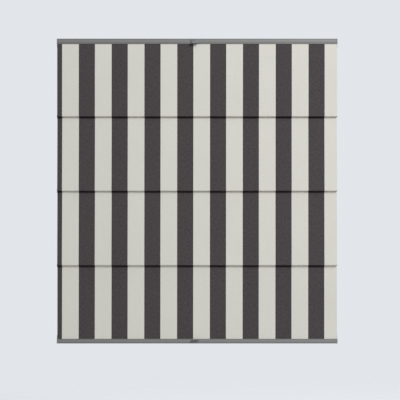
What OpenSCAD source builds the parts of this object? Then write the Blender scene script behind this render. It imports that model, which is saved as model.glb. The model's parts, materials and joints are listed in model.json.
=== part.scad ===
// Roman blind that is held between two mounting faces by two tension cords.
// Millimetres: x runs to the right seen from the front, y to the back and z up.
// The origin is midway between the two top screw holes, on the top mounting face.

/* [Blind] */
// Overall width, over the end caps
blind_w = 900; // [400:5:1600]
// Height between the top and the bottom mounting face
blind_h = 979; // [500:1:1800]
// Gap between a mounting face and the rail beside it
mount_gap = 0.8; // [0.4:0.1:3]
// How much taller the top panel is than the fold pitch, rail and gap included
top_extra = 13.5; // [8:0.5:30]
// How much taller the bottom panel is than the fold pitch, rail and gap included
bottom_extra = 11; // [2:0.5:30]

/* [Cloth] */
// How far each edge of the cloth ends short of the blind's end
cloth_inset = 1.5; // [1.3:0.1:2]
// Thickness of the cloth
cloth_t = 0.7; // [0.5:0.05:1]
// How far the end of a tuck stands out past the cloth's edge
tuck_proud = 1.3; // [0.5:0.1:1.3]
// Width of a light stripe
light_w = 53.5; // [20:0.1:120]
// Width of a dark stripe
dark_w = 51.7; // [20:0.1:120]
// Width of the part stripe at the left edge
left_stub_w = 15.8; // [5:0.1:50]
// How far the lower edge of a panel stands in front of the cloth slots
fold_front = 4.5; // [1:0.1:8]
// How far the top of the next panel lies behind the cloth slots
fold_back = 3; // [1:0.1:3.2]
// Height of the lower edge of a panel above the fold line
fold_lift = 2; // [1:0.1:4]
// Depth of the crease below the fold line, at the top of the next panel
fold_drop = 1.4; // [1:0.1:4]
// Radius of the lower edge of a panel
fold_r = 1.2; // [0.8:0.1:1.6]
// Radius of the shoulder at the top of the next panel
shoulder_r = 1.6; // [0.8:0.1:2]
// How far the cloth swings forward below the top rail
swing_d = 3.1; // [1:0.1:3.2]
// Height over which the cloth swings forward
swing_h = 2.5; // [2:0.5:20]
// Gap between the two layers that are sewn together at a tuck
seam_gap = 0.1; // [0.05:0.01:0.3]
// Distance from the rod to the seam of its pocket
pocket_neck = 1.5; // [1.2:0.1:2.6]
// Gap between the cloth's cut corners and the end caps
corner_gap = 0.3; // [0.2:0.05:1]

/* [Fold rods] */
// Radius of a fold rod
rod_r = 2; // [1.5:0.1:2.5]
// Gap between a rod and its pocket
pocket_gap = 0.35; // [0.3:0.05:0.6]
// Radius of the cord guide on the end of a rod
guide_r = 3.1; // [3:0.1:3.6]
// Length of a cord guide
guide_l = 13; // [12:0.5:20]
// How far the cord guide ends short of the blind's full width
guide_short = 0.6; // [0.4:0.1:1.2]
// How deep a rod sits in its cord guide
rod_seat = 6; // [4:0.5:7]
// Fit of a rod in its cord guide
rod_fit = 0.1; // [0.05:0.05:0.2]

/* [Tension cords] */
// Radius of a cord
cord_r = 0.6; // [0.4:0.05:0.8]
// Clearance of a cord in a bore
cord_gap = 0.3; // [0.3:0.05:0.5]
// Distance from the end of the blind to the upright cord
cord_inset = 4; // [3.5:0.1:6]
// Radius of the crimped bead on a cord's end
bead_r = 1.4; // [1.2:0.1:1.6]
// Height of the crimped bead
bead_h = 1.8; // [1.2:0.1:2]
// Half the distance between the two cords that cross inside a rail
cross_y = 2.6; // [2.4:0.1:3]
// Distance from the upright cord to the end of a crossing cord
cross_end = 2.5; // [2:0.1:4]
// Radius of a tension spring
spring_r = 1.6; // [1.4:0.1:1.7]
// Wire diameter of a tension spring
spring_wire = 0.7; // [0.4:0.05:0.8]
// Number of coils of a tension spring
spring_coils = 40; // [20:1:60]
// Distance of each spring's middle from the middle of the rail
spring_x = 120; // [60:5:160]

/* [Rails] */
// Height of the top rail
top_rail_h = 16.8; // [14.5:0.1:20]
// Height of the bottom rail
bottom_rail_h = 14.6; // [14.5:0.1:20]
// Depth of a rail
rail_d = 20; // [19.5:0.1:26]
// Distance from the cord to the back of the rail
rail_back = 7.5; // [7:0.1:9]
// Wall thickness of the rail profile
rail_wall = 1.3; // [1:0.1:1.4]
// Radius of the rail's long edges
rail_edge_r = 0.7; // [0.5:0.1:1.2]
// Width of the lips beside the channel's mouth
lip_w = 1.4; // [0.8:0.1:1.8]
// Distance from the front of the rail to the middle of the cloth slot
slot_y = 3.6; // [3.6:0.1:4.5]
// Width of the cloth slot
slot_w = 2; // [1.8:0.1:2.4]
// Depth of the snap grooves in the rail's face
snap_d = 0.7; // [0.4:0.1:0.7]
// Height of the snap grooves in the rail's face
snap_h = 1.2; // [0.8:0.1:1.4]
// Distance of each snap groove from the edge of the face
snap_inset = 1.8; // [1.2:0.1:2]

/* [Cloth strips] */
// Thickness of the strip that grips the edge of the cloth
strip_w = 4.2; // [3.6:0.1:4.4]
// Height of the strip
strip_h = 3.8; // [3.2:0.1:4.2]
// Clearance of the strip in its groove
strip_gap = 0.2; // [0.1:0.05:0.4]
// Gap between the strip's end and the end cap's peg
strip_end_gap = 0.5; // [0.2:0.1:2]
// Depth of the slit that takes the cloth
slit_d = 3; // [2:0.1:3]
// Clearance of the cloth in the slit, on each side
slit_gap = 0.1; // [0.05:0.05:0.2]

/* [End caps] */
// Thickness of the plate that closes a rail's end
cap_t = 3; // [2:0.1:4]
// Length of the tongue inside the rail
tongue_l = 24; // [20:1:40]
// Length of the peg in the cloth groove
peg_l = 8; // [5:0.5:12]
// Clearance of the cap in the rail
cap_gap = 0.15; // [0.1:0.05:0.3]
// Width of the cord outlet
outlet_w = 9; // [8.5:0.5:11]
// Depth of the cord outlet
outlet_d = 10; // [9:0.1:10.2]
// How far the cord outlet reaches past the rail
outlet_l = 11; // [6:0.5:18]
// Radius of the cord outlet's long edges
outlet_r = 2; // [1:0.1:3]

/* [Tension shoes] */
// Length of a shoe
shoe_l = 25; // [22:0.5:32]
// Depth of a shoe
shoe_d = 8.4; // [7.6:0.1:8.8]
// Height of a shoe
shoe_h = 5.6; // [5:0.1:5.8]
// Radius of a shoe's upright edges
shoe_r = 2; // [1:0.1:3]
// Distance from the end of the blind to the shoe's end
shoe_inset = 1; // [0.6:0.1:1.4]
// Clearance of a rail's end over its shoe
shoe_gap = 0.6; // [0.4:0.1:1]
// Radius of the screw hole
screw_r = 1.8; // [1.5:0.1:2]
// Radius of the countersink for the screw's head
head_r = 3.4; // [3:0.1:3.6]
// Distance between the upright cord and the screw hole
screw_x = 15; // [13:0.5:18]

/* [Handles] */
// Distance of the handles from the middle, to the right
handle_x = -7; // [-150:1:150]
// Width of a handle where it clips on the rail
handle_w = 26; // [20:1:60]
// Width of the handle's lip
handle_lip_w = 19; // [14:1:50]
// Height over which the handle's sides are upright before they slant in
handle_side_h = 5; // [3:0.5:8]
// Thickness of the handle's plate
handle_t = 1.5; // [1.2:0.1:2.5]
// How far the handle's lip ends short of the rail's inner edge
lip_short = 0.4; // [0:0.1:2]
// Angle through which the handle's front sweeps out
handle_sweep = 75; // [50:1:85]
// Thickness of the handle's lip
handle_lip_t = 2; // [1.6:0.1:3]
// Fit between a handle and its rail
handle_gap = 0.15; // [0.1:0.05:0.25]

/* [Hidden] */
$fn = 48;
EPS = 0.01;
CUT = 1;
ARC_STEPS = 4;
LOOP_STEPS = 20;
GREY = [0.50, 0.50, 0.50];
DARK_GREY = [0.36, 0.36, 0.37];
STEEL = [0.72, 0.72, 0.74];
WHITE = [0.86, 0.86, 0.84];
LIGHT_STRIPE = [0.81, 0.80, 0.76];
DARK_STRIPE = [0.28, 0.27, 0.27];

// Three folds part the cloth into four panels
fold_pitch = (blind_h - top_extra - bottom_extra) / 4;
function fold_z(k) = -top_extra - k * fold_pitch;

// Places across the blind
cloth_w = blind_w - 2 * cloth_inset;
cord_x = blind_w / 2 - cord_inset;
profile_l = blind_w - 2 * cap_t;
strip_l = profile_l - 2 * (peg_l + strip_end_gap);
guide_end = blind_w / 2 - guide_short;
guide_start = guide_end - guide_l;
rod_end = guide_start + rod_seat;
bore_r = cord_r + cord_gap;

// Places in a rail of height h, measured to the back and away from the rail's outer edge
rail_front = rail_back - rail_d;
cloth_y = rail_front + slot_y;
groove_w = strip_w + 2 * strip_gap;
groove_h = strip_h + 2 * strip_gap;
function groove_z(h) = h - rail_wall - groove_h;
function web_z(h) = groove_z(h) - rail_wall;
rib_back = cloth_y + groove_w / 2 + rail_wall;
shoe_z = shoe_h - mount_gap;
tongue_z = shoe_z + shoe_gap;
function cross_z(h) = web_z(h) - spring_r - cap_gap;
function cloth_end(h) = h - rail_wall - slit_d + slit_gap;

// Places in the cloth's section
crease_front = cloth_y - fold_front;
crease_back = cloth_y + fold_back;
loop_r = rod_r + pocket_gap + cloth_t / 2;
seam_z = (cloth_t + seam_gap) / 2;
seam_y = -loop_r - pocket_neck;
loop_start = asin(seam_z / loop_r);

// Points of an arc from angle a to angle b
function arc(centre, r, a, b, steps) =
    [for (i = [0:steps]) let (t = a + (b - a) * i / steps) centre + r * [cos(t), sin(t)]];

// A band of even thickness along a line of points
function unit(v) = v / norm(v);
function left_of(v) = [-v[1], v[0]];
function before(p, i) = unit(i > 0 ? p[i] - p[i - 1] : p[1] - p[0]);
function after(p, i) = unit(i < len(p) - 1 ? p[i + 1] - p[i] : p[i] - p[i - 1]);
function mitre(p, i) =
    let (m = unit(left_of(before(p, i)) + left_of(after(p, i)))) m / (m * left_of(after(p, i)));
function band(p, t) = concat(
    [for (i = [0:len(p) - 1]) p[i] + mitre(p, i) * t / 2],
    [for (i = [len(p) - 1:-1:0]) p[i] - mitre(p, i) * t / 2]
);

// A rectangle with round corners, from corner a to corner b
function round_rect(a, b, r) = concat(
    arc([b[0] - r, b[1] - r], r, 0, 90, ARC_STEPS),
    arc([a[0] + r, b[1] - r], r, 90, 180, ARC_STEPS),
    arc([a[0] + r, a[1] + r], r, 180, 270, ARC_STEPS),
    arc([b[0] - r, a[1] + r], r, 270, 360, ARC_STEPS)
);

// A section drawn with y to the right and z up becomes a bar along x
module bar(x0, x1) {
    translate([x0, 0, 0])
        rotate([90, 0, 90])
            linear_extrude(x1 - x0)
                children();
}

// A box from corner a to corner b
module box(a, b) {
    translate(a)
        cube(b - a);
}

// An upright cylinder from height z0 to height z1
module upright(x, r, z0, z1) {
    translate([x, 0, z0])
        cylinder(r = r, h = z1 - z0);
}

// A round bar along x
module round_bar(x0, x1, y, z, r) {
    translate([x0, y, z])
        rotate([0, 90, 0])
            cylinder(r = r, h = x1 - x0);
}

// Rail pieces are drawn for the top, with the rail's outer edge at z = 0
module at_top() {
    translate([0, 0, -mount_gap])
        children();
}

module at_bottom() {
    translate([0, 0, -blind_h + mount_gap])
        mirror([0, 0, 1])
            children();
}

// Shoes are drawn for the top right, with the mounting face at z = 0
module at_corner(left, bottom) {
    translate([0, 0, bottom ? -blind_h : 0])
        mirror([left ? 1 : 0, 0, 0])
            mirror([0, 0, bottom ? 1 : 0])
                children();
}

module at_left() {
    mirror([1, 0, 0])
        children();
}

// The line of the cloth at one fold: the panel's lower edge, the rod pocket and the next shoulder
function fold_line(z) = concat(
    arc([crease_front + fold_r, z + fold_lift + fold_r], fold_r, 180, 270, ARC_STEPS),
    [[seam_y, z + seam_z]],
    arc([0, z], loop_r, 180 - loop_start, loop_start - 180, LOOP_STEPS),
    [[seam_y, z - seam_z]],
    arc([crease_back + shoulder_r, z - fold_drop - shoulder_r], shoulder_r, 90, 180, ARC_STEPS)
);

// The line of the whole cloth, from the top strip to the bottom strip
cloth_line = concat(
    [[cloth_y, -mount_gap - cloth_end(top_rail_h)], [cloth_y, -mount_gap - top_rail_h]],
    [[cloth_y - swing_d, -mount_gap - top_rail_h - swing_h]],
    fold_line(fold_z(1)),
    fold_line(fold_z(2)),
    fold_line(fold_z(3)),
    [[cloth_y, -blind_h + mount_gap + bottom_rail_h]],
    [[cloth_y, -blind_h + mount_gap + cloth_end(bottom_rail_h)]]
);

// A stretch of the cloth between two places across it
module cloth(x0, x1) {
    bar(x0, x1)
        polygon(band(cloth_line, cloth_t));
}

// The end of each tuck stands out past the edge from x0 to x1
module tuck_ends(x0, x1) {
    intersection() {
        cloth(x0, x1);
        for (k = [1:3])
            box([x0, crease_front - cloth_t, fold_z(k) - fold_drop],
                [x1, seam_y, fold_z(k) + fold_lift + fold_r]);
    }
}

// The pockets are cut away at both ends to let the cord guides through
module pocket_notches() {
    for (k = [1:3], s = [0, 1])
        translate([0, 0, fold_z(k)])
            mirror([s, 0, 0])
                box([guide_start - pocket_gap, -guide_r - pocket_gap, -loop_r - cloth_t],
                    [blind_w / 2 + CUT, loop_r + cloth_t, loop_r + cloth_t]);
}

// The four corners are cut back, so that only the gripped edge goes into the rails
module corner_notches() {
    below_top = -mount_gap - top_rail_h - corner_gap;
    above_bottom = -blind_h + mount_gap + bottom_rail_h + corner_gap;
    for (z = [[below_top, CUT], [-blind_h - CUT, above_bottom]], s = [0, 1])
        mirror([s, 0, 0])
            box([strip_l / 2, crease_front - cloth_t, z[0]],
                [blind_w / 2 + CUT, crease_back + cloth_t, z[1]]);
}

module stripe(x0, x1, dark) {
    color(dark ? DARK_STRIPE : LIGHT_STRIPE)
        difference() {
            union() {
                cloth(x0, x1);
                if (x0 <= -cloth_w / 2)
                    tuck_ends(x0 - tuck_proud, x0);
                if (x1 >= cloth_w / 2)
                    tuck_ends(x1, x1 + tuck_proud);
            }
            pocket_notches();
            corner_notches();
        }
}

// Edges of the stripes from left to right, a part stripe at each side
stripe_start = -cloth_w / 2 + left_stub_w;
stripe_count = ceil((cloth_w - left_stub_w) / (light_w + dark_w) * 2);
function stripe_edge(i) = stripe_start + ceil(i / 2) * light_w + floor(i / 2) * dark_w;

module fabric() {
    stripe(-cloth_w / 2, stripe_start, true);
    for (i = [0:stripe_count])
        if (stripe_edge(i) < cloth_w / 2)
            stripe(stripe_edge(i), min(stripe_edge(i + 1), cloth_w / 2), i % 2 == 1);
}

// An upright cord with its two crimped beads, which sit in the shoes
module tension_cord() {
    color(WHITE) {
        upright(cord_x, cord_r, -blind_h + mount_gap, -mount_gap);
        upright(cord_x, bead_r, -mount_gap - bead_h, -mount_gap);
        upright(cord_x, bead_r, -blind_h + mount_gap, -blind_h + mount_gap + bead_h);
    }
}

module left_tension_cord() at_left() tension_cord();

module right_tension_cord() tension_cord();

// A shoe has a countersunk screw hole, and a cord hole with a recess for the bead
module shoe() {
    outer = blind_w / 2 - shoe_inset;
    hole_x = cord_x - screw_x;
    color(WHITE)
        difference() {
            translate([0, 0, -shoe_h])
                linear_extrude(shoe_h)
                    polygon(round_rect([outer - shoe_l, -shoe_d / 2], [outer, shoe_d / 2], shoe_r));
            upright(hole_x, screw_r, -shoe_h - CUT, CUT);
            translate([hole_x, 0, -shoe_h])
                cylinder(r1 = head_r, r2 = screw_r, h = head_r - screw_r);
            upright(cord_x, bore_r, -shoe_h - CUT, CUT);
            upright(cord_x, bead_r + cord_gap, -mount_gap - bead_h, CUT);
        }
}

module top_left_shoe() at_corner(true, false) shoe();

module top_right_shoe() at_corner(false, false) shoe();

module bottom_left_shoe() at_corner(true, true) shoe();

module bottom_right_shoe() at_corner(false, true) shoe();

// The outline of a rail's end
module rail_outline(h) {
    polygon(round_rect([rail_front, -h], [rail_back, 0], rail_edge_r));
}

// A rectangle in a section, from corner a to corner b
module rect(a, b) {
    translate(a)
        square(b - a);
}

// The rail profile: a channel for cords and shoes outside, and a groove for the cloth inside
module rail_section(h) {
    inner_front = rail_front + rail_wall;
    inner_back = rail_back - rail_wall;
    groove_front = cloth_y - groove_w / 2;
    difference() {
        rail_outline(h);
        rect([inner_front, -web_z(h)], [inner_back, -rail_wall]);
        rect([inner_front + lip_w, -rail_wall - EPS], [inner_back - lip_w, CUT]);
        rect([groove_front, -h + rail_wall], [groove_front + groove_w, -groove_z(h)]);
        rect([cloth_y - slot_w / 2, -h - CUT], [cloth_y + slot_w / 2, -h + rail_wall + EPS]);
        rect([rib_back, -h - CUT], [inner_back, -groove_z(h)]);
        for (z = [-snap_inset - snap_h, -h + snap_inset])
            rect([rail_front - CUT, z], [rail_front + snap_d, z + snap_h]);
    }
}

module rail(h) {
    notch = outlet_w - cap_t + 2 * cord_gap;
    color(GREY)
        difference() {
            bar(-profile_l / 2, profile_l / 2)
                rail_section(h);
            // The web is milled away at both ends for the cord outlets
            for (s = [0, 1])
                mirror([s, 0, 0])
                    box([profile_l / 2 - notch, rib_back + EPS, -groove_z(h) - EPS],
                        [profile_l / 2 + CUT, outlet_d / 2 + cord_gap, -web_z(h) + EPS]);
        }
}

module top_rail() at_top() rail(top_rail_h);

module bottom_rail() at_bottom() rail(bottom_rail_h);

// An end cap, drawn for the right: plate, tongue, peg and cord outlet in one moulding
module cap(h) {
    inner_front = rail_front + rail_wall + cap_gap;
    inner_back = rail_back - rail_wall - cap_gap;
    end = blind_w / 2;
    plate = profile_l / 2;
    groove_half = groove_w / 2 - strip_gap;
    color(DARK_GREY)
        difference() {
            union() {
                bar(plate, end)
                    rail_outline(h);
                box([plate - tongue_l, inner_front, -web_z(h)], [end - EPS, inner_back, -tongue_z]);
                box([plate - peg_l, cloth_y - groove_half, -h + rail_wall + cap_gap],
                    [end - EPS, cloth_y + groove_half, -groove_z(h) - cap_gap]);
                bar(end - outlet_w, end)
                    polygon(round_rect([-outlet_d / 2, -h - outlet_l],
                                       [outlet_d / 2, -tongue_z], outlet_r));
            }
            // Opening over the shoe
            box([plate - tongue_l - CUT, -shoe_d / 2 - shoe_gap, -tongue_z],
                [end + CUT, shoe_d / 2 + shoe_gap, CUT]);
            // Bore of the upright cord
            upright(cord_x, bore_r, -h - outlet_l - CUT, CUT);
            // Slots for the two crossing cords
            for (s = [-1, 1])
                box([plate - tongue_l - CUT, s * cross_y - bore_r, -web_z(h) - EPS],
                    [cord_x - cross_end + cord_gap, s * cross_y + bore_r, CUT]);
        }
}

module top_left_cap() at_top() at_left() cap(top_rail_h);

module top_right_cap() at_top() cap(top_rail_h);

module bottom_left_cap() at_bottom() at_left() cap(bottom_rail_h);

module bottom_right_cap() at_bottom() cap(bottom_rail_h);

// The strip sits on the groove's lips and grips the cloth in its slit
module cloth_strip(h) {
    bottom = -h + rail_wall;
    slit = cloth_t / 2 + slit_gap;
    color(WHITE)
        bar(-strip_l / 2, strip_l / 2)
            difference() {
                rect([cloth_y - strip_w / 2, bottom], [cloth_y + strip_w / 2, bottom + strip_h]);
                rect([cloth_y - slit, bottom - CUT], [cloth_y + slit, bottom + slit_d]);
            }
}

module top_cloth_strip() at_top() cloth_strip(top_rail_h);

module bottom_cloth_strip() at_bottom() cloth_strip(bottom_rail_h);

// The section of a handle: a plate with two snap noses and a lip that sweeps out to the front
module handle_section(h) {
    back = rail_front - handle_gap;
    front = back - handle_t;
    top = -snap_inset + handle_gap;
    foot = -h + snap_inset - handle_gap;
    // The hollow is as round as it takes to bring the lip down to the rail's inner edge
    lip_drop = h - lip_short - handle_lip_t / 2 + top - handle_t;
    lip_mid = lip_drop / sin(handle_sweep);
    hollow_r = lip_mid - handle_lip_t / 2;
    lip_r = lip_mid + handle_lip_t / 2;
    lip_root = acos(hollow_r / lip_r);
    centre = [front - hollow_r, top - handle_t];
    tip = centre + lip_mid * [cos(handle_sweep), -sin(handle_sweep)];
    polygon(concat(
        [[front, foot], [back, foot], [back, top], [front, top]],
        arc(centre, hollow_r, 0, -handle_sweep, 3 * ARC_STEPS),
        arc(tip, handle_lip_t / 2, 180 - handle_sweep, 360 - handle_sweep, 2 * ARC_STEPS),
        arc(centre, lip_r, -handle_sweep, -lip_root, 2 * ARC_STEPS)
    ));
    nose = snap_h / 2 - handle_gap;
    for (z = [-snap_inset - snap_h / 2, -h + snap_inset + snap_h / 2])
        rect([back - EPS, z - nose], [rail_front + snap_d - handle_gap, z + nose]);
}

// The handle narrows from its plate to its lip
module handle(h) {
    color(GREY)
        translate([handle_x, 0, 0])
            intersection() {
                bar(-handle_w / 2, handle_w / 2)
                    handle_section(h);
                translate([0, rail_back, 0])
                    rotate([90, 0, 0])
                        linear_extrude(rail_d + 2 * h)
                            polygon([
                                [-handle_w / 2, 0], [-handle_w / 2, -handle_side_h],
                                [-handle_lip_w / 2, -h], [handle_lip_w / 2, -h],
                                [handle_w / 2, -handle_side_h], [handle_w / 2, 0]
                            ]);
            }
}

module top_handle() at_top() handle(top_rail_h);

module bottom_handle() at_bottom() handle(bottom_rail_h);

// Crossing cords lie in the rail's channel; with springs, each is parted at its spring
module cross_cords(h, sprung) {
    end = cord_x - cross_end;
    half_spring = spring_coils * spring_wire / 2;
    color(WHITE)
        for (s = [-1, 1])
            if (sprung) {
                round_bar(-end, s * spring_x - half_spring, s * cross_y, -cross_z(h), cord_r);
                round_bar(s * spring_x + half_spring, end, s * cross_y, -cross_z(h), cord_r);
            } else {
                round_bar(-end, end, s * cross_y, -cross_z(h), cord_r);
            }
}

module top_cross_cords() at_top() cross_cords(top_rail_h, false);

module bottom_cross_cords() at_bottom() cross_cords(bottom_rail_h, true);

// A closed-wound spring, drawn as a row of touching coils
module spring() {
    half = spring_coils * spring_wire / 2;
    wire_r = spring_wire / 2;
    coils = [
        for (i = [0:spring_coils - 1], j = [0:ARC_STEPS - 1])
            let (a = -90 + 180 * j / ARC_STEPS, z = -half + (2 * i + 1) * wire_r)
                [spring_r - wire_r + wire_r * cos(a), z + wire_r * sin(a)]
    ];
    rotate([0, 90, 0])
        rotate_extrude()
            polygon(concat([[0, -half]], coils, [[spring_r - wire_r, half], [0, half]]));
}

module bottom_springs() {
    color(STEEL)
        at_bottom()
            for (s = [-1, 1])
                translate([s * spring_x, s * cross_y, -cross_z(bottom_rail_h)])
                    spring();
}

// A rod that stiffens one fold
module rod(k) {
    color(STEEL)
        round_bar(-rod_end + rod_fit, rod_end - rod_fit, 0, fold_z(k), rod_r);
}

module upper_rod() rod(1);

module middle_rod() rod(2);

module lower_rod() rod(3);

// A cord guide, drawn for the right end: a socket for the rod and a bore for the cord
module guide(k) {
    color(DARK_GREY)
        translate([0, 0, fold_z(k)])
            difference() {
                round_bar(guide_start, guide_end, 0, 0, guide_r);
                round_bar(guide_start - CUT, rod_end, 0, 0, rod_r + rod_fit);
                upright(cord_x, bore_r, -guide_r - CUT, guide_r + CUT);
            }
}

module upper_left_guide() at_left() guide(1);

module upper_right_guide() guide(1);

module middle_left_guide() at_left() guide(2);

module middle_right_guide() guide(2);

module lower_left_guide() at_left() guide(3);

module lower_right_guide() guide(3);

fabric();
left_tension_cord();
right_tension_cord();
top_left_shoe();
top_right_shoe();
bottom_left_shoe();
bottom_right_shoe();
top_rail();
top_left_cap();
top_right_cap();
top_cloth_strip();
top_handle();
top_cross_cords();
bottom_rail();
bottom_left_cap();
bottom_right_cap();
bottom_cloth_strip();
bottom_handle();
bottom_cross_cords();
bottom_springs();
upper_rod();
upper_left_guide();
upper_right_guide();
middle_rod();
middle_left_guide();
middle_right_guide();
lower_rod();
lower_left_guide();
lower_right_guide();
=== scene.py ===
# %% [markdown]
# # A roman blind on two taut cords
#
# The blind is one striped cloth between two slim grey rails. Three tucks part the cloth into four
# flat panels, and a thin rod lies in a pocket behind each tuck. Two taut cords run from top to
# bottom behind the cloth's edges. They carry the rails and the rods, so both rails can be pushed
# along them by hand.
#
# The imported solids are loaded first. They are the frame that every new piece is fitted to, so
# nothing is placed by eye: sizes are read from them, or repeated here under the same names.

# %% Load the solids
import json
import math

import bpy
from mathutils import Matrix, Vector, noise

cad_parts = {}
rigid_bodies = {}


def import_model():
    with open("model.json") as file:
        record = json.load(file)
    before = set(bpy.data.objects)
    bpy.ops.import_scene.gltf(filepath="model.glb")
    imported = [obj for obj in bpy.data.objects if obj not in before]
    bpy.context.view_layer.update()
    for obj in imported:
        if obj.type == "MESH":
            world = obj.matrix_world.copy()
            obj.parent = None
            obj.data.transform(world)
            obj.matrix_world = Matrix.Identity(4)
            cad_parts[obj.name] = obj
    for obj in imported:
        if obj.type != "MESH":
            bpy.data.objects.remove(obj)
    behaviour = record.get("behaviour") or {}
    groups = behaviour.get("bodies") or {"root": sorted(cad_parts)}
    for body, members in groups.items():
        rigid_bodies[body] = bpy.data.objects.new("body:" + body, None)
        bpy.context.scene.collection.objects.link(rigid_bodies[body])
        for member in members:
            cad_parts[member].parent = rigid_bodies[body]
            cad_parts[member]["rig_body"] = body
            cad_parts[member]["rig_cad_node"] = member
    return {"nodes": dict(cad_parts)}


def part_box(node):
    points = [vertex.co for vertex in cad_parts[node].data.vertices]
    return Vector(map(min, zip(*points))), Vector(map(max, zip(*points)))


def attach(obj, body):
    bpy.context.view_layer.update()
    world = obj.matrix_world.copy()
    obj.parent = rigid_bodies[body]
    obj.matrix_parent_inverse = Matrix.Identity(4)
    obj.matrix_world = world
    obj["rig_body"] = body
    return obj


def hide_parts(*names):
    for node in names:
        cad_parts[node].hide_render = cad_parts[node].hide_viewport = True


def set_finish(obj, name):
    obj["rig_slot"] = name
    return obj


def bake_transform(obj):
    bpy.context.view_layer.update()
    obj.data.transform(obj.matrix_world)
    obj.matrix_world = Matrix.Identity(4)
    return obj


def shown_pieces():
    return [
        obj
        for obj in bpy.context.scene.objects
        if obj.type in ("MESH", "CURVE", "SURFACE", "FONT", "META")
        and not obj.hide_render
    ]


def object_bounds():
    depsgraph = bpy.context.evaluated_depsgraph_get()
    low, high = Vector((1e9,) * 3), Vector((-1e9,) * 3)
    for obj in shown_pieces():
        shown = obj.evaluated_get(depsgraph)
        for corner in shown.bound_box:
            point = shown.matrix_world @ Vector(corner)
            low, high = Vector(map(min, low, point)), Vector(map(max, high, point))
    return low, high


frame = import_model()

MM = 0.001
nodes = frame["nodes"]
cad_box = [list(corner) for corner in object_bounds()]

# %% [markdown]
# The rods say where the folds are, and the rails say where the cloth goes in. Reading these
# places from the solids keeps the cloth on its rods when the blind is made in another size.

# %% Places that the solids give
def middle(node):
    """The middle of a solid's box."""
    low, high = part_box(node)
    return (low + high) / 2


folds = ["upper", "middle", "lower"]
fold_z = [middle(f"{fold}_rod").z for fold in folds]
rail_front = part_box("top_rail")[0].y
cord_x = middle("right_tension_cord").x
guide_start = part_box("upper_right_guide")[0].x
strip_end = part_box("top_cloth_strip")[1].x
tuck_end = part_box("fabric")[1].x
print("folds at", [round(z, 4) for z in fold_z], "cords at", round(cord_x, 4))

# %% [markdown]
# ## Camera
#
# The photograph is taken straight from the front, from about four metres away. The camera could
# stand anywhere on that line with a lens to match, but only the real distance shows the folds
# from the same small angle. One pixel covers 3.21 mm at the rail's face.

# %% Stand the camera in front of the blind
IMAGE_PX = 400
CAMERA_FAR = 4.1
MM_PER_PX = 3.2058
LENS_RIGHT_PX = 2.87
LENS_LOW_PX = 8.93

px = MM_PER_PX * MM
blind_middle = (Vector(cad_box[0]) + Vector(cad_box[1])) / 2
camera = bpy.data.objects.new("camera", bpy.data.cameras.new("camera"))
bpy.context.scene.collection.objects.link(camera)
camera.location = (
    blind_middle.x + LENS_RIGHT_PX * px,
    -CAMERA_FAR,
    blind_middle.z - LENS_LOW_PX * px,
)
camera.rotation_euler = (math.radians(90), 0, 0)
camera.data.angle = 2 * math.atan(IMAGE_PX / 2 * px / (CAMERA_FAR + rail_front))
bpy.context.scene.camera = camera
print("field of view", round(math.degrees(camera.data.angle), 2), "degrees")

# %% [markdown]
# ## Working by operator
#
# Most pieces below are modelled with operators, as by hand. An operator acts on all that is
# selected, so each step first clears the selection, and faces are then picked by their place. A
# finished piece keeps its place in its mesh, with its object at the origin, as the solids do.

# %% Helpers for operators
def clear_selection():
    """Leaves nothing selected, in object mode."""
    if bpy.context.object and bpy.context.object.mode != "OBJECT":
        bpy.ops.object.mode_set(mode="OBJECT")
    bpy.ops.object.select_all(action="DESELECT")


def only(piece):
    """Makes one piece the selected and active one."""
    clear_selection()
    piece.select_set(True)
    bpy.context.view_layer.objects.active = piece
    return piece


def added(name):
    """The primitive that was just added, with its place put into its mesh."""
    piece = bpy.context.object
    piece.name = piece.data.name = name
    bpy.ops.object.transform_apply(location=True, rotation=True, scale=True)
    return piece


def pick_faces(piece, wanted):
    """Opens a piece in edit mode with those faces selected whose middle passes a test."""
    only(piece)
    mesh = piece.data
    for part in (*mesh.vertices, *mesh.edges):
        part.select = False
    for face in mesh.polygons:
        face.select = wanted(face.center)
    bpy.context.tool_settings.mesh_select_mode = (False, False, True)
    bpy.ops.object.mode_set(mode="EDIT")


def put_on(piece, kind, **settings):
    """Adds a modifier and applies it."""
    only(piece)
    modifier = piece.modifiers.new(kind.lower(), kind)
    for name, value in settings.items():
        setattr(modifier, name, value)
    bpy.ops.object.modifier_apply(modifier=modifier.name)


def smooth(piece, degrees):
    """Shades a piece smoothly, apart from edges that are sharper than an angle."""
    only(piece)
    bpy.ops.object.shade_smooth_by_angle(angle=math.radians(degrees))


# %% [markdown]
# ## The cloth
#
# The cloth is one length of woven stripe. At each fold it turns back under the panel, runs to the
# rod, goes round it and comes forward again, and a seam in front of the rod closes the pocket.
# The next panel hangs from there, 7.5 mm further back, in the shade of the edge above: the fold's
# dark line.
#
# A simulation would only make the panels wavy, and the weight of the rods keeps them flat. So the
# cloth is cut as a flat grid of its real size, and each row of the grid is laid at its place
# along the line that the cloth follows in section. Its length is then that of the flat cut by
# construction. Below the top rail it turns forward to the rail's face, a little tighter than its
# solid does.

# %% Sizes of the cloth
cloth_t = 0.7 * MM
cloth_w = 897 * MM
cloth_y = rail_front + 3.6 * MM
fold_front = 4.5 * MM
fold_back = 3 * MM
fold_lift = 2 * MM
fold_drop = 1.4 * MM
fold_r = 1.2 * MM
shoulder_r = 1.6 * MM
loop_r = 2.7 * MM
seam_y = -4.2 * MM
seam_z = 0.4 * MM
notch_y = -3.45 * MM
notch_gap = 0.35 * MM
corner_drop = 0.3 * MM
grip_h = 4.2 * MM
swing = 3.1 * MM
turn_h = 1.3 * MM

crease_front = cloth_y - fold_front
crease_back = cloth_y + fold_back
rail_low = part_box("top_rail")[0].z
rail_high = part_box("bottom_rail")[1].z
depths = [round(y / MM, 1) for y in (crease_front, crease_back)]
print("panels run from", *depths, "mm in depth")

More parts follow.
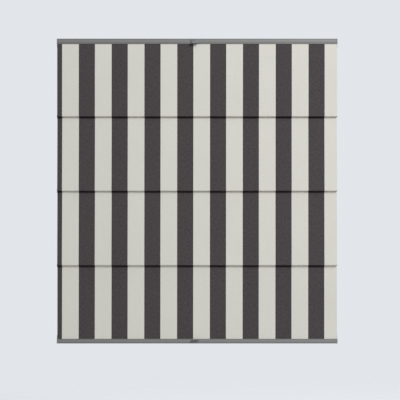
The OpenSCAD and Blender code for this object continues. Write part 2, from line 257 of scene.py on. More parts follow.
# %% The line of the cloth in section, from the top rail down
EDGE_STEPS = 8
LOOP_STEPS = 28
ROW = 3 * MM


def arc(y, z, radius, start, end, steps):
    """Points (y, z) of an arc, by angles in degrees."""
    angles = [math.radians(start + (end - start) * i / steps) for i in range(steps + 1)]
    return [(y + radius * math.cos(a), z + radius * math.sin(a)) for a in angles]


def tuck(z):
    """A panel's lower edge, the seam, the pocket round the rod, and back to the seam."""
    opening = math.degrees(math.asin(seam_z / loop_r))
    return [
        *arc(crease_front + fold_r, z + fold_lift + fold_r, fold_r, 180, 270, EDGE_STEPS),
        (seam_y, z + seam_z),
        (notch_y, z + seam_z),
        *arc(0, z, loop_r, 180 - opening, opening - 180, LOOP_STEPS),
        (notch_y, z - seam_z),
        (seam_y, z - seam_z),
    ]


def shoulder(z):
    """From the seam over the shoulder into the next panel."""
    low = z - fold_drop - shoulder_r
    bend = arc(crease_back + shoulder_r, low, shoulder_r, 90, 180, EDGE_STEPS)
    return [(seam_y, z - seam_z), *bend]


def with_rows(ends):
    """The same line with rows put into its long stretches, so that the cloth can bend there."""
    line = [ends[0]]
    for (y0, z0), (y1, z1) in zip(ends, ends[1:]):
        steps = max(1, round(math.dist((y0, z0), (y1, z1)) / ROW))
        shares = [i / steps for i in range(1, steps + 1)]
        line += [(y0 + (y1 - y0) * share, z0 + (z1 - z0) * share) for share in shares]
    return line


into_top = [
    (cloth_y, rail_low + grip_h),
    (cloth_y, rail_low),
    (cloth_y, rail_low - corner_drop),
    (cloth_y - swing, rail_low - turn_h),
]
into_bottom = [(cloth_y, rail_high + corner_drop), (cloth_y, rail_high - grip_h)]
starts = [into_top, *(shoulder(z) for z in fold_z)]
stops = [*(tuck(z) for z in fold_z), into_bottom]
lines = [with_rows([*start, *stop]) for start, stop in zip(starts, stops)]
print("rows in the panels:", [len(line) for line in lines])

# %% Lay the four panels
COLUMN = 9 * MM
RIPPLE = 0.22 * MM
RIPPLE_SIZE = (0.11, 0.16)
FADE = 0.03
PROUD_FADE = 5 * MM
A_HAIR = MM / 10

edge_x = cloth_w / 2
notch_x = guide_start - notch_gap
inner = round(2 * notch_x / COLUMN)
columns = [
    -edge_x,
    -strip_end,
    *(-notch_x + 2 * notch_x * i / inner for i in range(inner + 1)),
    strip_end,
    edge_x,
]


def stands_proud(z):
    """From 0 to 1: how far the cloth's edge is drawn out beside a tuck, at a height."""
    nearest = min(abs(z - fold) for fold in fold_z)
    return max(0, 1 - max(0, nearest - fold_lift) / PROUD_FADE)


def on_line(x, y, z, top, bottom):
    """A point of the cloth, with a hanging panel's faint waves and the tucks' proud ends."""
    quiet = min(1, max(0, min(top - z, z - bottom) / FADE))
    wave = noise.noise(Vector((x / RIPPLE_SIZE[0], z / RIPPLE_SIZE[1], 0)))
    if abs(x) >= edge_x - A_HAIR and y < notch_y:
        x += math.copysign(tuck_end - edge_x, x) * stands_proud(z)
    return x, y + RIPPLE * wave * quiet, z


def cut_cloth(name, line):
    """A flat grid of the panel's cut size, laid along its line row by row."""
    across, down = len(columns) - 1, len(line) - 1
    clear_selection()
    bpy.ops.mesh.primitive_grid_add(x_subdivisions=across, y_subdivisions=down, size=1)
    panel = added(name)
    top, bottom = line[0][1], line[-1][1]
    for vertex in panel.data.vertices:
        i = round((vertex.co.x + 0.5) * across)
        j = round((0.5 - vertex.co.y) * down)
        vertex.co = on_line(columns[i], *line[j], top, bottom)
    return panel


panels = [cut_cloth(f"cloth_panel_{i + 1}", line) for i, line in enumerate(lines)]

# %% [markdown]
# The pockets are cut away at both ends, where the plastic cord guides sit on the rods, and the
# cloth's corners are cut back beside the end caps. These notches fall on rows and columns of the
# grid, so the faces in them are simply deleted. Solidify then gives the sheet its thickness.

# %% Notch the pockets and corners, and thicken the cloth
CLOTH_SHARP = 50


def in_notch(point):
    """Whether a face with this middle is cut away."""
    beside_pocket = abs(point.x) > notch_x and point.y > notch_y
    between_rails = rail_high + corner_drop < point.z < rail_low - corner_drop
    beside_cap = abs(point.x) > strip_end and not between_rails
    return beside_pocket or beside_cap


for panel in panels:
    pick_faces(panel, in_notch)
    bpy.ops.mesh.delete(type="FACE")
    clear_selection()
    put_on(panel, "SOLIDIFY", thickness=cloth_t, offset=0, use_even_offset=True)
    smooth(panel, CLOTH_SHARP)
    print(panel.name, len(panel.data.polygons), "faces")

# %% [markdown]
# Just under each tuck the cloth's colour is painted with the fold's light and shade: painted light
# on the cream, for the light that passes through the pale cloth, and painted shade on the charcoal.
# Each point of the panels gets a number for that, from 0 in the open to 1 close under a tuck, and
# the finish reads it later. It is kept with the mesh as an attribute, so it stays on the same
# threads when the cloth gathers.

# %% Mark where the fold's painted light and shade go
PAINTED_SHADE_DEEP = 2 * MM
PAINTED_SHADE_FADE = 4.2 * MM


def fold_paint_share(point):
    """From 0 to 1: how much painted light or shade the tuck above gives a point."""
    in_pocket = point.y > seam_y
    if in_pocket:
        return 0
    depths = [fold - point.z for fold in fold_z if point.z < fold + fold_lift]
    return max([0, *(min(1, 1 - (depth - PAINTED_SHADE_DEEP) / PAINTED_SHADE_FADE) for depth in depths)])


for panel in panels:
    shares = panel.data.attributes.new("painted_fold_light_shade", "FLOAT", "POINT").data
    for vertex, share in zip(panel.data.vertices, shares):
        share.value = fold_paint_share(vertex.co)
    print(panel.name, sum(share.value > 0 for share in shares), "sheltered points of", len(shares))

# %% [markdown]
# When a rail is pushed along its cords, the panel beside it folds up between the rail and the rod,
# into a pleat. Each panel is a piece of its own, lying between two bodies: the one above it and the
# one below. A panel slants forward from top to bottom, which keeps the layers of that pleat apart.

# %% Hide the cloth's solid and give each panel its place and slot
bodies = ["top_rail_assembly", "upper_fold", "window_fixings", "lower_fold", "bottom_rail_assembly"]

for i, panel in enumerate(panels):
    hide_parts("fabric")
    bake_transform(panel)
    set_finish(panel, "cloth")
    print(panel.name, "hangs between", bodies[i], "and", bodies[i + 1])

# %% [markdown]
# ## Seams
#
# Each pocket is closed by one row of lockstitch just in front of the rod. The thread lies in
# short slanting runs on both faces of the seam, and each run sinks into the cloth at its ends.
# One run is a small ball drawn out into a grain, an Array repeats it along the seam, and a second
# row goes below.

# %% Sew the three pockets
STITCH_PITCH = 3 * MM
STITCH_L = 2.5 * MM
STITCH_W = 0.42 * MM
STITCH_SLANT = 7
STITCH_SIDES = 8
STITCH_RINGS = 4
SOFT_ANGLE = 60

stitch_y = (seam_y + notch_y) / 2
stitch_z = seam_z + cloth_t / 2
stitch_count = int(2 * notch_x / STITCH_PITCH)


def row_of_stitches(name, z):
    """One row of thread runs along a seam, at a height."""
    clear_selection()
    bpy.ops.mesh.primitive_uv_sphere_add(
        segments=STITCH_SIDES,
        ring_count=STITCH_RINGS,
        radius=0.5,
        scale=(STITCH_W, STITCH_W, STITCH_L),
        rotation=(0, math.radians(90), math.radians(STITCH_SLANT)),
        location=(-STITCH_PITCH * (stitch_count - 1) / 2, stitch_y, z),
    )
    row = added(name)
    put_on(
        row,
        "ARRAY",
        count=stitch_count,
        use_relative_offset=False,
        use_constant_offset=True,
        constant_offset_displace=(STITCH_PITCH, 0, 0),
    )
    return row


seams = []
for fold, z, body in zip(folds, fold_z, bodies[1:4]):
    seam = row_of_stitches(f"{fold}_seam", z + stitch_z)
    lower_row = row_of_stitches("lower_row", z - stitch_z)
    clear_selection()
    lower_row.select_set(True)
    seam.select_set(True)
    bpy.context.view_layer.objects.active = seam
    bpy.ops.object.join()
    smooth(seam, SOFT_ANGLE)
    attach(seam, body)
    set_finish(seam, "cloth")
    seams.append(seam)
print("stitches:", stitch_count, "on each face of", len(seams), "seams")

# %% [markdown]
# ## Tension cords
#
# A braided cord of 1.2 mm runs from shoe to shoe at each side, through the caps and the rods'
# guides. Its strands pass over and under each other, which leaves rows of small diamonds. One
# repeat of the braid is a short open tube whose points are drawn in between the diamonds. An
# Array sets the repeats end to end, so the relief is modelled only once.

# %% Braid the two upright cords
CORD_R = 0.6 * MM
CORD_SIDES = 16
BRAID = 3 * MM
BRAID_ROWS = 6
BRAID_RELIEF = 0.12
BRAID_MERGE = MM / 100
DIAMONDS_ROUND = 4

cord_low, cord_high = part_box("right_tension_cord")
cord_top, cord_bottom = cord_high.z, cord_low.z
cord_length = cord_top - cord_bottom
repeats = round(cord_length / BRAID)


def braid(name, x):
    """An upright cord at x, from the upper bead to the lower one."""
    step = cord_length / repeats
    clear_selection()
    bpy.ops.mesh.primitive_cylinder_add(
        vertices=CORD_SIDES,
        radius=CORD_R,
        depth=step,
        end_fill_type="NOTHING",
        location=(0, 0, cord_bottom + step / 2),
    )
    cord = added(name)
    only(cord)
    bpy.ops.object.mode_set(mode="EDIT")
    for row in range(1, BRAID_ROWS):
        cut_z = cord_bottom + step * row / BRAID_ROWS
        bpy.ops.mesh.select_all(action="SELECT")
        bpy.ops.mesh.bisect(plane_co=(0, 0, cut_z), plane_no=(0, 0, 1))
    clear_selection()
    for vertex in cord.data.vertices:
        turn = DIAMONDS_ROUND * math.atan2(vertex.co.y, vertex.co.x)
        along = 2 * math.pi * (vertex.co.z - cord_bottom) / step
        dip = 0.5 - 0.5 * math.cos(turn + along) * math.cos(turn - along)
        vertex.co.x *= 1 - BRAID_RELIEF * dip
        vertex.co.y *= 1 - BRAID_RELIEF * dip
        vertex.co.x += x
    put_on(
        cord,
        "ARRAY",
        count=repeats,
        use_relative_offset=False,
        use_constant_offset=True,
        constant_offset_displace=(0, 0, step),
        use_merge_vertices=True,
        merge_threshold=BRAID_MERGE,
    )
    only(cord)
    bpy.ops.object.mode_set(mode="EDIT")
    bpy.ops.mesh.select_all(action="SELECT")
    bpy.ops.mesh.fill_holes(sides=CORD_SIDES)
    clear_selection()
    smooth(cord, SOFT_ANGLE)
    return cord


side_x = {"left": -cord_x, "right": cord_x}
cords = {side: braid(f"{side}_cord", x) for side, x in side_x.items()}
cord_faces = len(cords["left"].data.polygons)
print("cords:", round(cord_length, 4), "m,", repeats, "repeats,", cord_faces, "faces")

# %% [markdown]
# At each end a metal sleeve is crimped on the cord and sits in its recess in the shoe. It starts
# as a cylinder whose rims are bevelled. The crimp is a band in the middle that is drawn in.

# %% Crimp a bead on each end
BEAD_R = 1.4 * MM
BEAD_H = 1.8 * MM
BEAD_SIDES = 24
BEAD_BEVEL = 0.15 * MM
CRIMP = 0.82
CRIMP_CUTS = (-0.3, -0.12, 0.12, 0.3)
CRIMP_HALF = 0.2
HARD_ANGLE = 40


def bead(name, x, z):
    """A crimped sleeve on an upright cord."""
    clear_selection()
    bpy.ops.mesh.primitive_cylinder_add(
        vertices=BEAD_SIDES, radius=BEAD_R, depth=BEAD_H, location=(x, 0, z)
    )
    sleeve = added(name)
    only(sleeve)
    bpy.ops.object.mode_set(mode="EDIT")
    for share in CRIMP_CUTS:
        bpy.ops.mesh.select_all(action="SELECT")
        bpy.ops.mesh.bisect(plane_co=(x, 0, z + share * BEAD_H), plane_no=(0, 0, 1))
    clear_selection()
    for vertex in sleeve.data.vertices:
        if abs(vertex.co.z - z) < CRIMP_HALF * BEAD_H:
            vertex.co.x = x + (vertex.co.x - x) * CRIMP
            vertex.co.y *= CRIMP
    put_on(sleeve, "BEVEL", width=BEAD_BEVEL, segments=2, limit_method="ANGLE")
    smooth(sleeve, HARD_ANGLE)
    return sleeve


for side, cord in cords.items():
    x = side_x[side]
    beads = [
        bead(f"{side}_upper_bead", x, cord_top - BEAD_H / 2),
        bead(f"{side}_lower_bead", x, cord_bottom + BEAD_H / 2),
    ]
    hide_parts(f"{side}_tension_cord")
    for piece in (cord, *beads):
        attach(piece, "window_fixings")
    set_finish(cord, "cord")
    for piece in beads:
        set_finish(piece, "spring_steel")
print("beads:", round(2 * BEAD_R / MM, 2), "mm across")

# %% [markdown]
# ## Springs
#
# The crossing cords in the bottom rail each end in a small extension spring, which keeps the
# system taut. A real spring is one wire, so a Screw modifier carries a small circle round the
# spring's axis and on along it at every turn. The solid only needs the outer form and is drawn as
# a row of rings.

# %% Wind the two springs
SPRING_R = 1.6 * MM
SPRING_L = 28 * MM
WIRE_R = 0.35 * MM
WIRE_SIDES = 8
TURN_STEPS = 14

spring_low, spring_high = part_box("bottom_springs")
coil_r = SPRING_R - WIRE_R
cross_y = spring_high.y - SPRING_R
spring_z = middle("bottom_springs").z
turns = round(SPRING_L / (2 * WIRE_R)) - 1


def wind(name, start_x, y):
    """A spring along x that starts at start_x: its wire is drawn at the origin and then moved."""
    clear_selection()
    bpy.ops.mesh.primitive_circle_add(
        vertices=WIRE_SIDES,
        radius=WIRE_R,
        location=(WIRE_R, 0, coil_r),
        rotation=(math.radians(90), 0, 0),
    )
    spring = added(name)
    put_on(
        spring,
        "SCREW",
        axis="X",
        angle=2 * math.pi,
        screw_offset=2 * WIRE_R,
        iterations=turns,
        steps=TURN_STEPS,
        render_steps=TURN_STEPS,
    )
    only(spring)
    bpy.ops.object.mode_set(mode="EDIT")
    bpy.ops.mesh.select_all(action="SELECT")
    bpy.ops.mesh.fill_holes(sides=WIRE_SIDES)
    bpy.ops.mesh.select_all(action="SELECT")
    bpy.ops.mesh.normals_make_consistent(inside=False)
    bpy.ops.transform.translate(value=(start_x, y, spring_z))
    clear_selection()
    smooth(spring, SOFT_ANGLE)
    return spring


springs = [
    wind("left_spring", spring_low.x, -cross_y),
    wind("right_spring", spring_high.x - SPRING_L, cross_y),
]
for spring in springs:
    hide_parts("bottom_springs")
    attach(spring, "bottom_rail_assembly")
    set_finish(spring, "spring_steel")
print("springs:", turns, "turns,", len(springs[0].data.polygons), "faces each")

# %% [markdown]
# ## Rails and mouldings
#
# The extruded rails and the moulded caps, shoes, guides and handles have the right shape as
# solids, but their edges are razor sharp, and no drawn or moulded edge is. A copy of each solid
# is merged into one skin, its flat triangles are dissolved into whole faces, and a narrow bevel
# rounds every hard edge, so that the edges catch the light. The copy then stands for the solid.

# %% Soften the edges of the rigid pieces
FLAT = math.radians(0.4)
HARD = math.radians(33)
SKIN_MERGE = MM / 1000

edges_and_slots = {
    "rail": (0.18 * MM, "rail_paint"),
    "cap": (0.3 * MM, "cap_plastic"),
    "shoe": (0.35 * MM, "shoe_plastic"),
    "guide": (0.3 * MM, "cap_plastic"),
    "handle": (0.45 * MM, "handle_plastic"),
    "strip": (0.15 * MM, "strip_plastic"),
}


def soften(node, width):
    """A copy of a solid with its hard edges rounded."""
    solid = nodes[node]
    piece = bpy.data.objects.new(f"{node}_finished", solid.data.copy())
    bpy.context.scene.collection.objects.link(piece)
    piece.data.materials.clear()
    only(piece)
    bpy.ops.mesh.customdata_custom_splitnormals_clear()
    bpy.ops.object.mode_set(mode="EDIT")
    bpy.ops.mesh.select_all(action="SELECT")
    bpy.ops.mesh.remove_doubles(threshold=SKIN_MERGE)
    bpy.ops.mesh.mark_sharp(clear=True)
    bpy.ops.mesh.dissolve_limited(angle_limit=FLAT)
    clear_selection()
    put_on(
        piece,
        "BEVEL",
        width=width,
        segments=2,
        limit_method="ANGLE",
        angle_limit=HARD,
        use_clamp_overlap=True,
        harden_normals=False,
    )
    smooth(piece, HARD_ANGLE)
    return piece


finished = []
for node in sorted(nodes):
    kind = node.split("_")[-1]
    if kind not in edges_and_slots:
        continue
    edge, slot = edges_and_slots[kind]
    piece = soften(node, edge)
    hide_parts(node)
    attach(piece, nodes[node]["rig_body"])
    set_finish(piece, slot)
    finished.append(piece)
faces = sum(len(piece.data.polygons) for piece in finished)
print("softened:", len(finished), "pieces,", faces, "faces")

# %% [markdown]
# ## Writing finishes as sums
#
# A finish is a small graph of nodes. Written as plain sums it stays readable, so one class wraps
# a node's socket: an operator on it adds the Math node, and `node` adds any other kind. Colours
# go through Mix nodes, because a Math node would turn them grey.

# %% The socket class
class Socket:
    """A socket of a finish. Sums on it add Math nodes, and node() adds any other node."""

    def __init__(self, tree, link):
        self.tree, self.link = tree, link

    def node(self, kind, settings=(), inputs=(), output=0):
        made = self.tree.nodes.new(kind)
        for name, value in dict(settings).items():
            setattr(made, name, value)
        for name, value in dict(inputs).items():
            if isinstance(value, Socket):
                self.tree.links.new(value.link, made.inputs[name])
            else:
                made.inputs[name].default_value = value
        return Socket(self.tree, made.outputs[output])

    def math(self, operation, *values):
        return self.node("ShaderNodeMath", {"operation": operation}, enumerate(values))

    def __add__(self, other):
        return self.math("ADD", self, other)

    def __sub__(self, other):
        return self.math("SUBTRACT", self, other)

    def __rsub__(self, other):
        return self.math("SUBTRACT", other, self)

    def __mul__(self, other):
        return self.math("MULTIPLY", self, other)

    def __truediv__(self, other):
        return self.math("DIVIDE", self, other)

    def __mod__(self, other):
        return self.math("FLOORED_MODULO", self, other)

    def __lt__(self, other):
        return self.math("LESS_THAN", self, other)

    __radd__ = __add__
    __rmul__ = __mul__

    def sine(self):
        return self.math("SINE", self)

    def size(self):
        return self.math("ABSOLUTE", self)

    def limit(self, low, high):
        return self.math("MINIMUM", self.math("MAXIMUM", self, low), high)

    def axis(self, letter):
        return self.node("ShaderNodeSeparateXYZ", (), {0: self}, "XYZ".index(letter))

    def stretched(self, x, y, z):
        """The same place, measured in cells of those sizes."""
        scale = (1 / x, 1 / y, 1 / z)
        return self.node("ShaderNodeVectorMath", {"operation": "MULTIPLY"}, {0: self, 1: scale})

    def noise(self, detail=2.0):
        """Smooth noise from -1 to 1, at one cell to each unit of this place."""
        inputs = {"Vector": self, "Scale": 1.0, "Detail": detail}
        found = self.node("ShaderNodeTexNoise", (), inputs)
        return (found - 0.5) * 2

    def between(self, low, high):
        """Goes from one colour to another as this value goes from 0 to 1."""
        return self.node("ShaderNodeMix", {"data_type": "RGBA"}, {0: self, 6: low, 7: high}, 2)


print("sums are written with", Socket.__name__)

# %% [markdown]
# Every finish starts in the same way: a material with a Principled shader and the place on the
# piece. What is the same all over the surface is set on the shader, and what varies is linked to
# it. Colours are given as in the photograph and made linear, and most vary between a darker and a
# lighter shade.

# %% Helpers for finishes
def srgb(red, green, blue):
    """A colour as the photograph's pixels give it, made linear."""
    parts = [part / 255 for part in (red, green, blue)]
    return (*(p / 12.92 if p < 0.04045 else ((p + 0.055) / 1.055) ** 2.4 for p in parts), 1.0)


def shade(colour, share):
    """The same colour, lighter or darker."""
    return (*(part * share for part in colour[:3]), 1.0)


def dyed(tone, colour, spread):
    """A colour that goes from a darker to a lighter shade as the tone goes from 0 to 1."""
    return tone.limit(0, 1).between(*(shade(colour, share) for share in spread))


def new_finish(name, **settled):
    """A material, its shader with the settled values, and the place on the piece."""
    material = bpy.data.materials.new(name)
    material.use_nodes = True
    tree = material.node_tree
    shader = tree.nodes["Principled BSDF"]
    for socket, value in settled.items():
        shader.inputs[socket.replace("_", " ")].default_value = value
    coordinates = tree.nodes.new("ShaderNodeTexCoord")
    return material, shader, Socket(tree, coordinates.outputs["Object"])


def feed(shader, **varying):
    """Links what changes over the surface to the shader."""
    for socket, value in varying.items():
        value.tree.links.new(value.link, shader.inputs[socket.replace("_", " ")])


def relief(height, depth):
    """The normal of a surface with a height from -1 to 1, as deep as depth."""
    return height.node("ShaderNodeBump", (), {"Height": height, "Distance": depth, "Strength": 1.0})


print("a middle grey is", round(srgb(128, 128, 128)[0], 3), "in linear light")

# %% [markdown]
# ## The striped weave
#
# The cloth is a plain weave of slightly uneven yarn, with a weft thicker than the warp. The
# stripes are in the warp, the threads that run down, so their edges are straight and both faces
# show them. The cloth is cut a little out of true, so they drift one millimetre to the left on
# their way down. What makes it look woven is the relief of the two sets of threads, yarn that is
# thicker in places and leaves faint streaks, and a heather of lighter and darker dye in single
# yarns and in small flecks, which shows most in the dark stripes.
#
# Where the panels are marked, the colour is painted: the cream whiter, as painted light that stands
# in for the light that passes through the pale cloth, and the charcoal deeper, as painted shade
# under the fold. That keeps the lines under the folds soft on the light stripes and sharp on the
# dark ones.

# %% Lay out the stripes and the threads
LIGHT_W = 53.5 * MM
DARK_W = 51.7 * MM
LEFT_STUB_W = 15.8 * MM
STRIPE_LEAN = 0.001
WARP_YARN = 0.55 * MM
WEFT_YARN = 0.78 * MM

cloth_finish, cloth_shader, at = new_finish(
    "striped_weave",
    Roughness=0.85,
    Specular_IOR_Level=0.06,
    Sheen_Weight=0.02,
    Sheen_Roughness=0.5,
)
across, down = at.axis("X"), at.axis("Z")
first_light = LEFT_STUB_W - cloth_w / 2
in_light = (across - down * STRIPE_LEAN - first_light) % (LIGHT_W + DARK_W) < LIGHT_W
warp = (across * (math.pi / WARP_YARN)).sine()
weft = (down * (math.pi / WEFT_YARN)).sine()
threads = (warp * weft + warp.size() + weft.size()) / 3
print("stripes of", LIGHT_W / MM, "and", DARK_W / MM, "mm")
print("yarn of", WARP_YARN / MM, "and", WEFT_YARN / MM, "mm")

# %% [markdown]
# The unevenness is a sum of soft noises. Each has a size across and down in millimetres, a
# detail, and a share in the tone of the light and of the dark stripes.

# %% Make the yarn uneven
MIDDLE_TONE = 0.5
UNEVEN = {
    "streaks": (1.6, 90, 2.0, 0.22, 0.12),
    "slubs": (45, 1.3, 2.0, 0.12, 0.08),
    "heather": (1.8, 7, 3.0, 0.12, 0.25),
    "flecks": (4.2, 6.5, 3.0, 0.15, 0.55),
    "warp_yarns": (0.6, 9, 1.0, 0.3, 0.7),
    "weft_yarns": (9, 0.6, 1.0, 0.3, 0.7),
    "drift": (120, 160, 1.0, 0.15, 0.06),
}

uneven = {}
light_tone = dark_tone = MIDDLE_TONE
for kind, (width, height, detail, light_share, dark_share) in UNEVEN.items():
    uneven[kind] = at.stretched(width * MM, 1, height * MM).noise(detail)
    light_tone = uneven[kind] * light_share + light_tone
    dark_tone = uneven[kind] * dark_share + dark_tone
print("kinds of unevenness:", ", ".join(uneven))

# %% Dye the cloth
CREAM = srgb(214, 213, 205)
CREAM_SPREAD = (0.905, 1.075)
CREAM_PAINTED_LIGHT = srgb(235, 231, 222)
CHARCOAL = srgb(73, 69, 70)
CHARCOAL_SPREAD = (0.62, 1.42)
CHARCOAL_PAINTED_SHADE = shade(CHARCOAL, 0.42)
WEAVE_DEPTH = 0.09 * MM
WEAVE_ROUGH = 0.82
THREAD_ROUGH = 0.1
STREAK_RELIEF = 0.2
SLUB_RELIEF = 0.15

# Under each tuck the cream is painted lighter, as painted light, and the charcoal darker, as
# painted shade.
painted_fold_light_shade = at.node("ShaderNodeAttribute", {"attribute_name": "painted_fold_light_shade"}, (), "Fac")
cream = painted_fold_light_shade.between(dyed(light_tone, CREAM, CREAM_SPREAD), CREAM_PAINTED_LIGHT)
charcoal = painted_fold_light_shade.between(dyed(dark_tone, CHARCOAL, CHARCOAL_SPREAD), CHARCOAL_PAINTED_SHADE)
surface = threads + uneven["streaks"] * STREAK_RELIEF + uneven["slubs"] * SLUB_RELIEF
feed(
    cloth_shader,
    Base_Color=in_light.between(charcoal, cream),
    Roughness=WEAVE_ROUGH + threads * THREAD_ROUGH,
    Normal=relief(surface, WEAVE_DEPTH),
)
for piece in (*panels, *seams):
    piece.data.materials.append(cloth_finish)
print("cloth on", len(panels), "panels and", len(seams), "seams")

# %% [markdown]
# ## Satin grey aluminium
#
# The rails are drawn aluminium with a thin satin coat of neutral grey. Drawing leaves very fine
# lines along the rail, and the coat has a slight unevenness that only shows in the gloss.

# %% Coat the rails
RAIL_GREY = srgb(128, 128, 127)
RAIL_SPREAD = (0.93, 1.07)
RAIL_ROUGH = 0.55
RAIL_ROUGH_ENDS = (0.4, 0.7)
LINE_SIZE = (160 * MM, 0.25 * MM, 0.25 * MM)
LINE_TONE, LINE_ROUGH, LINE_DEPTH = 0.3, 0.06, 0.006 * MM
CLOUD_SIZE = (60 * MM, 12 * MM, 12 * MM)
CLOUD_TONE, CLOUD_ROUGH = 0.2, 0.04

rail_finish, rail_shader, at = new_finish("satin_rail", Metallic=0.05, Specular_IOR_Level=0.3)
drawn = at.stretched(*LINE_SIZE).noise()
cloud = at.stretched(*CLOUD_SIZE).noise()
rail_tone = MIDDLE_TONE + drawn * LINE_TONE + cloud * CLOUD_TONE
rail_rough = RAIL_ROUGH + drawn * LINE_ROUGH + cloud * CLOUD_ROUGH
feed(
    rail_shader,
    Base_Color=dyed(rail_tone, RAIL_GREY, RAIL_SPREAD),
    Roughness=rail_rough.limit(*RAIL_ROUGH_ENDS),
    Normal=relief(drawn, LINE_DEPTH),
)
print("rails:", [round(part, 3) for part in RAIL_GREY[:3]])

# %% [markdown]
# ## Moulded plastic
#
# Caps, guides and handles are dyed through in greys near the rail's, and shoes and cloth strips
# are milky white. All are moulded in spark-eroded tools, which leaves a fine even grain with soft
# gloss. One function writes that finish and takes the colour, the gloss and the size of the
# grain.

# %% Mould the plastics
PLASTIC_SPREAD = (0.94, 1.06)
PLASTIC_ROUGH_ENDS = (0.2, 0.9)
PIT_TONE, PIT_ROUGH, PIT_DEPTH = 0.12, 0.06, 0.06
FLOW_SIZE = (9 * MM, 5 * MM, 14 * MM)
FLOW_TONE, FLOW_ROUGH = 0.3, 0.04


def moulded(name, colour, roughness, grain):
    """Plastic with an even grain and faint marks of its flow into the mould."""
    finish, shader, at = new_finish(name, Specular_IOR_Level=0.4)
    pits = at.stretched(grain, grain, grain).noise()
    flow = at.stretched(*FLOW_SIZE).noise()
    tone = MIDDLE_TONE + pits * PIT_TONE + flow * FLOW_TONE
    feed(
        shader,
        Base_Color=dyed(tone, colour, PLASTIC_SPREAD),
        Roughness=(roughness + pits * PIT_ROUGH + flow * FLOW_ROUGH).limit(*PLASTIC_ROUGH_ENDS),
        Normal=relief(pits, grain * PIT_DEPTH),
    )
    return finish


plastics = {
    "cap_plastic": moulded("grey_cap", srgb(122, 122, 122), 0.5, 0.5 * MM),
    "handle_plastic": moulded("grey_handle", srgb(112, 112, 113), 0.5, 0.4 * MM),
    "shoe_plastic": moulded("white_shoe", srgb(226, 226, 222), 0.45, 0.5 * MM),
    "strip_plastic": moulded("white_strip", srgb(222, 222, 217), 0.55, 0.3 * MM),
}
print("plastics:", sorted(plastics))

# %% [markdown]
# ## Cord and metal
#
# The cords are white polyester: the strands of the braid are drawn as crossing bands on the
# surface, which the crossing cords inside the rails need as well, since they are plain round
# solids. Springs and sleeves are bright steel wire with fine scratches, and the rods are drawn
# aluminium.

# %% Braid the cords' finish
CORD_WHITE = srgb(224, 224, 219)
CORD_SPREAD = (0.8, 1.03)
CORD_TONE = 0.55
CORD_ROUGH = 0.7
CORD_DEPTH = 0.03 * MM
STRAND = 1.5 * MM
BAND_TURN = 2
BAND_TONE, BAND_RELIEF = 0.25, 0.4
FIBRE_SIZE = (0.2 * MM, 0.2 * MM, 0.9 * MM)
FIBRE_TONE, FIBRE_ROUGH, FIBRE_RELIEF = 0.2, 0.1, 0.3

cord_finish, cord_shader, at = new_finish("white_braid", Sheen_Weight=0.15, Specular_IOR_Level=0.35)
along = at.axis("X") + at.axis("Z")
round_it = (at.axis("Y") + at.axis("Z")) * BAND_TURN
wave = 2 * math.pi / STRAND
bands = ((along + round_it) * wave).sine() * ((along - round_it) * wave).sine()
fibres = at.stretched(*FIBRE_SIZE).noise()
cord_tone = CORD_TONE + bands * BAND_TONE + fibres * FIBRE_TONE
feed(
    cord_shader,
    Base_Color=dyed(cord_tone, CORD_WHITE, CORD_SPREAD),
    Roughness=(CORD_ROUGH + fibres * FIBRE_ROUGH).limit(0, 1),
    Normal=relief(bands * BAND_RELIEF + fibres * FIBRE_RELIEF, CORD_DEPTH),
)
print("strands of", STRAND / MM, "mm")

# %% Draw the metals
METAL_SPREAD = (0.9, 1.05)
METAL_ROUGH_ENDS = (0.1, 0.7)
SCRATCH_DETAIL = 3.0
SCRATCH_TONE, SCRATCH_ROUGH, SCRATCH_DEPTH = 0.5, 0.08, 0.004 * MM


def bright(name, colour, roughness, scratch):
    """Metal with fine scratches of a size."""
    finish, shader, at = new_finish(name, Metallic=1.0)
    scratches = at.stretched(*scratch).noise(SCRATCH_DETAIL)
    feed(
        shader,
        Base_Color=dyed(MIDDLE_TONE + scratches * SCRATCH_TONE, colour, METAL_SPREAD),
        Roughness=(roughness + scratches * SCRATCH_ROUGH).limit(*METAL_ROUGH_ENDS),
        Normal=relief(scratches, SCRATCH_DEPTH),
    )
    return finish


wire_scratch = (0.6 * MM, 0.3 * MM, 0.3 * MM)
rod_scratch = (60 * MM, 0.3 * MM, 0.3 * MM)
metals = {
    "spring_steel": bright("bright_steel", srgb(196, 197, 200), 0.25, wire_scratch),
    "rod_metal": bright("drawn_rod", srgb(205, 206, 208), 0.35, rod_scratch),
}
print("metals:", sorted(metals))

# %% [markdown]
# Each slot of the record now has a finish. A solid that still shows takes the one of its own
# slot, and a new piece the one of the slot that it was given.

# %% Dress every piece
finishes = {"cloth": cloth_finish, "rail_paint": rail_finish, "cord": cord_finish}
finishes.update(plastics)
finishes.update(metals)
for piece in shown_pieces():
    if "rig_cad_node" in piece:
        slot = piece.data.materials[0].name
        piece.data.materials[0] = finishes[slot]
    elif not piece.data.materials:
        piece.data.materials.append(finishes[piece["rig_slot"]])

# %% [markdown]
# ## Floor and light
#
# The blind hangs in a plain pale studio. The floor is a disc below it that fades out towards its
# rim, so it takes the blind's shadow and shows no edge. The pale background is the world's colour
# as seen by the camera and in reflections. What lights the blind is one large lamp at the upper
# right, which gives the brighter right side, and a soft grey from the same world, dim from below
# and brighter from behind, where the lamp doesn't reach. The floor sends only half of its light
# back up, so that the lines under the folds stay dark.

# %% Tell the camera's rays from the light's
def shows(tree):
    """1 for a ray that the picture shows, straight or reflected, and 0 for one that only lights."""
    paths = tree.nodes.new("ShaderNodeLightPath").outputs
    kinds = ("Is Camera Ray", "Is Glossy Ray", "Is Transmission Ray")
    straight, reflected, through = (Socket(tree, paths[kind]) for kind in kinds)
    return (straight + reflected + through).limit(0, 1)


PALE = srgb(226, 230, 235)
print("background", [round(part, 3) for part in PALE[:3]])

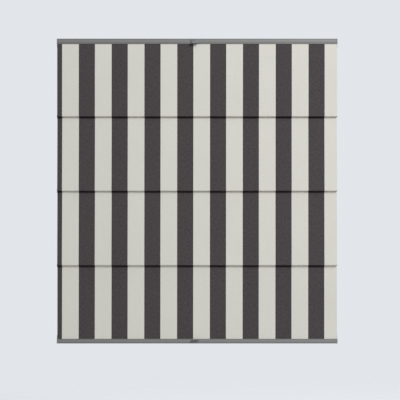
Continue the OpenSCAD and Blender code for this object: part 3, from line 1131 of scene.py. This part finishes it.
# %% Lay the floor
FLOOR_GAP = 0.45
FLOOR_R = 2.6
FLOOR_SIDES = 96

clear_selection()
floor_z = cad_box[0][2] - FLOOR_GAP
bpy.ops.mesh.primitive_circle_add(
    vertices=FLOOR_SIDES, radius=FLOOR_R, fill_type="NGON", location=(0, 0, floor_z)
)
floor = added("floor")
print("floor at", round(floor_z, 3))

# %% Paint the floor and fade its rim
FLOOR_SOLID = 0.9
FLOOR_BOUNCE = 0.5
FLOOR_DIM = 0.98
MARK_SIZE = (0.4, 0.4, 1)
HEIGHT_IS_NOTHING = (1, 1, 1e6)

floor_finish, floor_shader, at = new_finish("pale_floor", Roughness=0.8, Specular_IOR_Level=0.1)
level = at.stretched(*HEIGHT_IS_NOTHING)
from_middle = at.node("ShaderNodeVectorMath", {"operation": "LENGTH"}, {0: level}, 1)
faded = ((from_middle - FLOOR_SOLID) / (FLOOR_R - FLOOR_SOLID)).limit(0, 1)
marks = at.stretched(*MARK_SIZE).noise()
pale = (MIDDLE_TONE + marks * MIDDLE_TONE).between(shade(PALE, FLOOR_DIM), PALE)
tree = floor_finish.node_tree
feed(floor_shader, Base_Color=shows(tree).between(shade(PALE, FLOOR_BOUNCE), pale))
clear = Socket(tree, tree.nodes.new("ShaderNodeBsdfTransparent").outputs[0])
solid_floor = Socket(tree, floor_shader.outputs[0])
mixed = at.node("ShaderNodeMixShader", (), {0: faded, 1: solid_floor, 2: clear})
tree.links.new(mixed.link, tree.nodes["Material Output"].inputs["Surface"])
floor.data.materials.append(floor_finish)
print("floor fades from", FLOOR_SOLID, "to", FLOOR_R, "m")

# %% Light the blind softly from all round
SOFT_BELOW = 0.08
SOFT_ABOVE = 0.8
SOFT_BEHIND = 0.6

world = bpy.data.worlds.new("studio")
bpy.context.scene.world = world
world.use_nodes = True
tree = world.node_tree
sky = Socket(tree, tree.nodes.new("ShaderNodeTexCoord").outputs["Generated"])
raised = (sky.axis("Z") + 1) / 2
behind = sky.axis("Y").limit(0, 1)
soft = raised * (SOFT_ABOVE - SOFT_BELOW) + SOFT_BELOW + behind * SOFT_BEHIND
tree.links.new(shows(tree).between(soft, PALE).link, tree.nodes["Background"].inputs["Color"])
print("soft light", SOFT_BELOW, "from below and", SOFT_ABOVE, "from above")

# %% Hang the key lamp
KEY_POWER = 193
KEY_SIZE = 1.5
KEY_AT = Vector((2.8, -3.0, 2.5))

lamp = bpy.data.lights.new("key", "AREA")
lamp.energy, lamp.size = KEY_POWER, KEY_SIZE
key = bpy.data.objects.new("key", lamp)
bpy.context.scene.collection.objects.link(key)
key.location = KEY_AT
to_blind = blind_middle - KEY_AT
key.rotation_euler = to_blind.to_track_quat("-Z", "Y").to_euler()
bpy.context.scene.view_settings.view_transform = "Standard"
print("key lamp", round(to_blind.length, 2), "m away")
